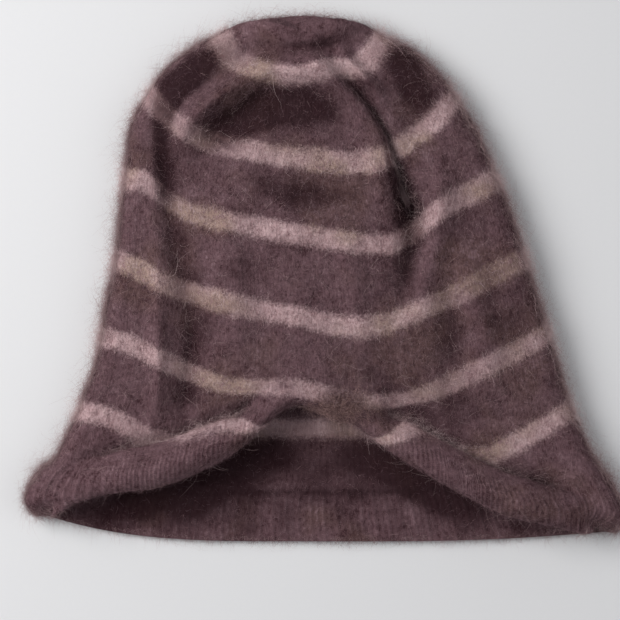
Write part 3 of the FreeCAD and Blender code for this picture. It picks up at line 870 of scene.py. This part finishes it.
# ------ the knitted bands
MAIN_YARN = knit_material("main_yarn_knit")
STRIPE_YARN = knit_material("stripe_yarn_knit")
RIB_YARN = knit_material("rib_yarn_knit", ribbed=True)
BANDS = [("crown_cap", CAP_START, FIRST_STRIPE - STRIPE_HALF, MAIN_YARN, "main_yarn")]
for number, middle in enumerate(STRIPES, 1):
    start = middle + STRIPE_HALF
    end = RIB if number == len(STRIPES) else middle + STRIPE_PITCH - STRIPE_HALF
    BANDS.append(("stripe_%d" % number, middle - STRIPE_HALF, start, STRIPE_YARN, "stripe_yarn"))
    BANDS.append(("main_band_%d" % number, start, end, MAIN_YARN, "main_yarn"))
BANDS.append(("hem_rib", RIB, EDGE, RIB_YARN, "rib_yarn"))
BANDS.append(("cast_on_edge", EDGE, HEM, RIB_YARN, "rib_yarn"))

# For each face of each band: its points, the normals out of the cloth, and the amount of painted shade.
SKIN = {}
for node, first, last, material, slot in BANDS:
    outer, inner, inward, knit, tint = cloth(first, last)
    SKIN[node] = {"outer": (outer, -inward, knit[0][..., 2]), "inner": (inner, inward, knit[1][..., 2])}
    mesh = ring_mesh(node + "_knit", outer, inner, {"knit": knit, "tint": tint})
    add_piece(node + "_knit", mesh, material, (node,))


# ------ seams of the crown and the closing yarn
def tube(name, path, side, up, radius, node, closed=False, sides=10):
    """Yarn along a path (design mm) with a slightly wavy, plied outline and rounded ends."""
    count = len(path)
    length = np.concatenate([[0.0], np.cumsum(np.linalg.norm(np.diff(path, axis=0), axis=1))])
    angle = np.linspace(0, FULL_TURN, sides, endpoint=False)
    swell = 1.0 + 0.16 * np.cos(FULL_TURN * length[:, None] / SEAM_PITCH + 2 * angle)
    if not closed:
        taper = np.sqrt(np.clip(np.minimum(length, length[-1] - length) / radius, 0.02, 1.0))
        swell = swell * taper[:, None]
    ring = np.cos(angle)[:, None] * side[:, None] + np.sin(angle)[:, None] * up[:, None]
    points = path[:, None] + ring * (radius * swell)[..., None]
    index = np.arange(count * sides).reshape(count, sides)
    nxt = np.roll(index, -1, axis=1)
    points = points.reshape(-1, 3)
    if closed:
        polygons = quads(index, nxt, np.roll(nxt, -1, axis=0), np.roll(index, -1, axis=0)).tolist()
    else:
        tip = np.full(sides, len(points))
        points = np.concatenate([points, [path[0], path[-1]]])
        polygons = quads(index[:-1], nxt[:-1], nxt[1:], index[1:]).tolist()
        polygons += np.stack([tip, nxt[0], index[0]], axis=1).tolist()
        polygons += np.stack([tip + 1, index[-1], nxt[-1]], axis=1).tolist()
    mesh = bpy.data.meshes.new(name)
    mesh.from_pydata(to_frame(points).tolist(), [], polygons)
    mesh.polygons.foreach_set("use_smooth", np.ones(len(mesh.polygons), bool))
    ply = np.zeros((len(points), 3))
    ply[:count * sides, 0] = np.repeat(length, sides)
    ply[:count * sides, 1] = np.tile(angle / FULL_TURN, count)
    set_vectors(mesh, "ply", ply)
    mesh.update()
    add_piece(name, mesh, SEAM_YARN, (node,))


SEAM_YARN = seam_material()
SEAM_START = 9.0
SEAM_STEP = 0.6
SEAM_RADIUS = 0.62
SEAM_DEPTH = FABRIC + 0.35 + SEAM_RADIUS + 0.15
reach_line = np.arange(SEAM_START, PANEL_REACH + 0.01, SEAM_STEP)
padded_line = np.concatenate([[SEAM_START - SEAM_STEP], reach_line, [PANEL_REACH + SEAM_STEP]])
surface = middle_surface(padded_line)
inward_all = normals(surface, padded_line)
for name, part in SEAMS.items():
    column = int(np.argmin(np.abs(PART - part)))
    inward = inward_all[1:-1, column]
    path = surface[1:-1, column] + inward * SEAM_DEPTH
    along = unit(np.gradient(path, axis=0))
    side = unit(np.cross(along, inward))
    tube(name + "_yarn", path, side, np.cross(side, along), SEAM_RADIUS, name)

# The closing yarn hangs a little lower than its solid, clear of the cloth of the crown.
CLOSING_DROP = 3.6
CLOSING_RADIUS = 0.95
RING_STEPS = 96
low, high = [np.array(corner, float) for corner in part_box("crown_closing_yarn")]
centre = (low + high) / 2.0 / SCALE + SHIFT - np.array([0.0, 0.0, CLOSING_DROP])
ring_radius = (high[0] - low[0]) / SCALE / 2.0 - 1.0
angle = np.linspace(0, FULL_TURN, RING_STEPS, endpoint=False)
spoke = np.stack([np.cos(angle), np.sin(angle), np.zeros(RING_STEPS)], axis=1)
upward = np.tile([0.0, 0.0, 1.0], (RING_STEPS, 1))
tube("crown_closing_yarn_twist", centre + spoke * ring_radius, spoke, upward, CLOSING_RADIUS,
     "crown_closing_yarn", closed=True, sides=12)


# ------ the halo of fibres
def cell_areas(grid):
    """Area of every cell between two rows of points."""
    nxt = np.roll(grid, -1, axis=1)
    return np.linalg.norm(np.cross(grid[1:] - grid[:-1], nxt[:-1] - grid[:-1]), axis=-1)


def scatter(node, count, side, lengths, lift, keep=None, outward=False, thin=1.0):
    """Fibres over one face of a band: roots, tangents, sideways vectors, normals, lengths and rises.

    Where shade is painted they are thinned out by the share thin; outward turns them all down the hat.
    """
    grid, facing, shade = SKIN[node][side]
    weight = (cell_areas(grid) * np.clip(1.0 - thin * shade[:-1], 0.05, 1.0)).ravel()
    if keep is not None:
        weight = weight * keep(*np.moveaxis(grid[:-1], -1, 0), facing[:-1, :, 2]).ravel()
    if weight.sum() <= 0 or count < 1:
        return None
    chosen = RNG.choice(weight.size, size=count, p=weight / weight.sum())
    row, column = np.divmod(chosen, grid.shape[1])
    a = RNG.random(count)[:, None]
    b = RNG.random(count)[:, None]
    after = (column + 1) % grid.shape[1]
    root = grid[row, column] * (1 - a) * (1 - b) + grid[row + 1, column] * a * (1 - b)
    root = root + grid[row, after] * (1 - a) * b + grid[row + 1, after] * a * b
    normal = facing[row, column]
    down = unit(grid[row + 1, column] - grid[row, column])
    across = np.cross(normal, down)
    x, y, z = root.T
    lock = noise(x + 0.7 * z, y - 0.7 * z, 5.0, 21)
    turn = (lock * 4.5 + RNG.normal(0, 0.8, count) + math.pi * RNG.integers(0, 2, count))[:, None]
    if outward:
        turn = RNG.normal(0, 0.8, count)[:, None]
    tangent = down * np.cos(turn) + across * np.sin(turn)
    length = lengths[0] + (lengths[1] - lengths[0]) * RNG.random(count) ** 2.2
    rise = lift[0] + (lift[1] - lift[0]) * RNG.random(count) ** 1.6
    return root, tangent, np.cross(normal, tangent), normal, length, rise


# How far, in metres, fibres may stand out of the frame's box.
ROOM = np.array([0.006, 0.006, 0.007])


def strands(groups, width, segments, curl):
    """Curved flat strands as one mesh: arrays of points and faces."""
    points, faces, offset = [], [], 0
    t = np.linspace(0, 1, segments + 1)
    taper = width * (1.0 - 0.75 * t ** 2)
    per = 2 * (segments + 1)
    for group in groups:
        if group is None:
            continue
        root, tangent, sideways, normal, length, rise = group
        count = len(root)
        bend = RNG.normal(0, 0.55, count)[:, None]
        wave = RNG.normal(0, curl, count)[:, None]
        phase = RNG.uniform(0, FULL_TURN, count)[:, None]
        droop = RNG.uniform(0.35, 0.95, count)[:, None]
        length = length[:, None]
        arch = bend * t ** 2 + wave * (np.sin(phase + 5.0 * t) - np.sin(phase))
        up = rise[:, None] * (t - droop * 0.62 * t ** 2) * 1.5
        line = (root - normal * 0.12)[:, None]
        line = line + tangent[:, None] * (length * t)[..., None]
        line = line + sideways[:, None] * (length * arch)[..., None]
        line = line + normal[:, None] * (length * up + 0.3 * t)[..., None]
        placed = to_frame(line)
        inside = ((placed > LOW - ROOM) & (placed < HIGH + ROOM)).all(axis=(1, 2))
        line, sideways, normal, count = line[inside], sideways[inside], normal[inside], int(inside.sum())
        spin = RNG.uniform(0, math.pi, count)[:, None]
        flat = sideways * np.cos(spin) + normal * np.sin(spin)
        half = flat[:, None] * (taper[:, None] / 2.0)
        strip = np.stack([line - half, line + half], axis=2)
        strip[..., 2] = np.maximum(strip[..., 2], 0.05)
        base = offset + np.arange(count)[:, None] * per
        for k in range(segments):
            faces.append(base + 2 * k + np.array([0, 1, 3, 2]))
        points.append(strip.reshape(-1, 3))
        offset += count * per
    return np.concatenate(points), np.concatenate(faces)


# The rules that follow give the share of fibres that grow at a place; up is the upward part of its normal.
def not_resting(x, y, z, up):
    """Where the cloth is free, not where it lies on the floor."""
    return np.clip((z - 0.3) / 1.2, 0.0, 1.0)


def in_view(x, y, z, up):
    """Mostly the part of the inner face that can be seen past the turned hem."""
    return np.where((y < -58.0) & (z < 6.0), 1.0, 0.04)


def at_outline(x, y, z, up):
    """Where the cloth turns away from the top, low down, but not along the lip of the arch."""
    steep = np.clip(1.0 - np.abs(up), 0.0, 1.0)
    low = np.clip((17.0 - z) / 4.0, 0.0, 1.0)
    at_lip = bell(y, curve(ARCH, x), 9.0) * (z > 6.0) * (np.abs(x) < 132.0)
    spread = 0.007 + low * steep ** 2 * (1.0 - 0.95 * at_lip)
    return np.clip((z - 0.5) / 1.5, 0.0, 1.0) * spread


def on_stripe(x, y, z, up):
    """Where the stripe is not hidden."""
    faded = patchwork(x, y, FADED) * (z > 8.0)
    return not_resting(x, y, z, up) * np.clip(1.0 - faded, 0.05, 1.0)


def at_arch_top(x, y, z, up):
    """Beside the top of the arch, where loose fuzz hides the fifth stripe."""
    return bell(x, 11.0, 10.0) * bell(y, -60.0, 5.0) * (z > 10.0)


DENSITY = 1.0
MAIN_NODES = [band[0] for band in BANDS if band[4] != "stripe_yarn"]
STRIPE_NODES = [band[0] for band in BANDS if band[4] == "stripe_yarn"]
CURL_NODES = ("stripe_5", "main_band_5")
# Bands whose inner face can be seen, with fewer and flatter fibres on it.
SEEN_INSIDE = ("main_band_5", "stripe_6", "main_band_6", "hem_rib", "cast_on_edge")
INSIDE_SHARE = 0.35
INSIDE_LIFT = 0.7
# Share of the fibres on the bands near the hem, where wales and ribs stay clear.
THINNER = {"main_band_6": 0.70, "hem_rib": 0.60, "cast_on_edge": 0.60}


def halo(name, nodes, colour, per_area, lengths, lift, width, inside=False, segments=3,
         keep=not_resting, hem=0, curl=0.16, thin=1.0):
    """One piece of fibres: per_area on a square millimetre, and hem more on each face of cast_on_edge."""
    groups = []
    for node in nodes:
        count = float(cell_areas(SKIN[node]["outer"][0]).sum()) * THINNER.get(node, 1.0) * per_area
        groups.append(scatter(node, int(count * DENSITY), "outer", lengths, lift, keep, thin=thin))
        if inside and node in SEEN_INSIDE:
            groups.append(scatter(node, int(count * INSIDE_SHARE * DENSITY), "inner", lengths,
                                  (lift[0], lift[1] * INSIDE_LIFT), in_view, thin=thin))
    if hem:
        for side in ("outer", "inner"):
            groups.append(scatter("cast_on_edge", int(hem * DENSITY), side, lengths, (0.0, 0.5),
                                  outward=True))
    points, faces = strands(groups, width, segments, curl)
    material = fibre_material(name + "_fibre", linear(*colour))
    add_piece(name, make_mesh(name, to_frame(points), faces), material)


# thin sets how the fibres follow the painted shade: light fibres get fewer there, nap_dark gets more.
halo("nap_dark", MAIN_NODES, (54, 33, 38), 0.32, (1.4, 4.0), (0.02, 0.30), 0.12, inside=True, thin=-0.6)
halo("nap_mid", MAIN_NODES, (112, 85, 89), 0.30, (1.6, 4.6), (0.03, 0.36), 0.10, inside=True, thin=0.8)
halo("nap_grey", MAIN_NODES, (120, 96, 103), 0.14, (1.6, 4.6), (0.03, 0.36), 0.10, inside=True, thin=0.8)
halo("nap_light", MAIN_NODES, (140, 113, 117), 0.24, (1.6, 5.2), (0.04, 0.42), 0.075, inside=True)
halo("halo_short", MAIN_NODES, (146, 120, 122), 0.25, (2.2, 5.5), (0.25, 1.0), 0.085,
     keep=at_outline, hem=2200)
halo("halo_long", MAIN_NODES, (168, 144, 144), 0.17, (4.0, 12.0), (0.25, 1.1), 0.07, segments=5,
     keep=at_outline, hem=600)
halo("nap_stripe_deep", STRIPE_NODES, (128, 100, 103), 0.50, (1.6, 5.0), (0.02, 0.34), 0.11,
     inside=True, keep=on_stripe)
halo("nap_stripe_pale", STRIPE_NODES, (196, 170, 170), 0.50, (1.6, 5.5), (0.03, 0.40), 0.09,
     inside=True, keep=on_stripe)
halo("nap_stripe_brown", STRIPE_NODES, (104, 80, 84), 0.22, (1.8, 5.5), (0.03, 0.40), 0.09, inside=True)
halo("curls_brown", CURL_NODES, (104, 79, 81), 0.07, (3.0, 7.0), (0.05, 0.5), 0.13, segments=6,
     keep=at_arch_top, curl=0.5)
halo("curls_pale", CURL_NODES, (170, 138, 132), 0.06, (3.0, 8.0), (0.1, 0.7), 0.09, segments=6,
     keep=at_arch_top, curl=0.5)
halo("halo_stripe", STRIPE_NODES, (196, 172, 172), 0.60, (2.4, 9.5), (0.25, 1.0), 0.075,
     segments=5, keep=at_outline)


# ------ camera, floor and light
def floor_material():
    g = Graph("floor_paper")
    grain = g.noise(g.place(), 500.0, 3.0)
    return g.finish(Base_Color=g.mix(grain, (0.705, 0.705, 0.715), (0.72, 0.72, 0.73)),
                    Roughness=g.ramp(grain, 0.2, 0.8, 0.82, 0.92), Specular_IOR_Level=0.15)


def area_light(name, place, size, power, colour):
    """Round light that looks at the origin."""
    data = bpy.data.lights.new(name, "AREA")
    data.shape = "DISK"
    data.size = size
    data.energy = power
    data.color = colour
    lamp = add_object(name, data)
    lamp.location = place
    lamp.rotation_euler = (-Vector(place)).to_track_quat("-Z", "Y").to_euler()


FLOOR_Z = float(LOW[2]) - 0.0002
FLOOR_HALF = 3.0
corners = [(x * FLOOR_HALF, y * FLOOR_HALF, FLOOR_Z) for x, y in ((-1, -1), (1, -1), (1, 1), (-1, 1))]
floor_mesh = bpy.data.meshes.new("floor")
floor_mesh.from_pydata(corners, [], [(0, 1, 2, 3)])
floor_mesh.materials.append(floor_material())
add_object("floor", floor_mesh)

# The camera looks straight down; FIELD is the width it sees at the height of the hat.
VIEW_HEIGHT = 1.4
HAT_MIDDLE_Z = 0.011
SENSOR = 36.0
FIELD = 310.0 * SCALE
AIM = to_frame(np.array([-6.0, -15.0, 0.0]))
camera_data = bpy.data.cameras.new("camera")
camera_data.lens = SENSOR * (VIEW_HEIGHT - HAT_MIDDLE_Z) / FIELD
camera_data.clip_start = 0.01
camera = add_object("camera", camera_data)
camera.location = (AIM[0], AIM[1], VIEW_HEIGHT)
SCENE.camera = camera

area_light("key", (-0.96, 0.30, 0.90), 1.0, 19.6, (1.0, 0.99, 0.98))
area_light("side", (1.0, -0.1, 0.8), 1.2, 3.0, (1.0, 0.99, 0.97))
world = bpy.data.worlds.new("world")
SCENE.world = world
world.use_nodes = True
background = world.node_tree.nodes["Background"].inputs
background["Color"].default_value = (0.93, 0.955, 1.0, 1.0)
background["Strength"].default_value = 0.30
SCENE.view_settings.view_transform = "Standard"
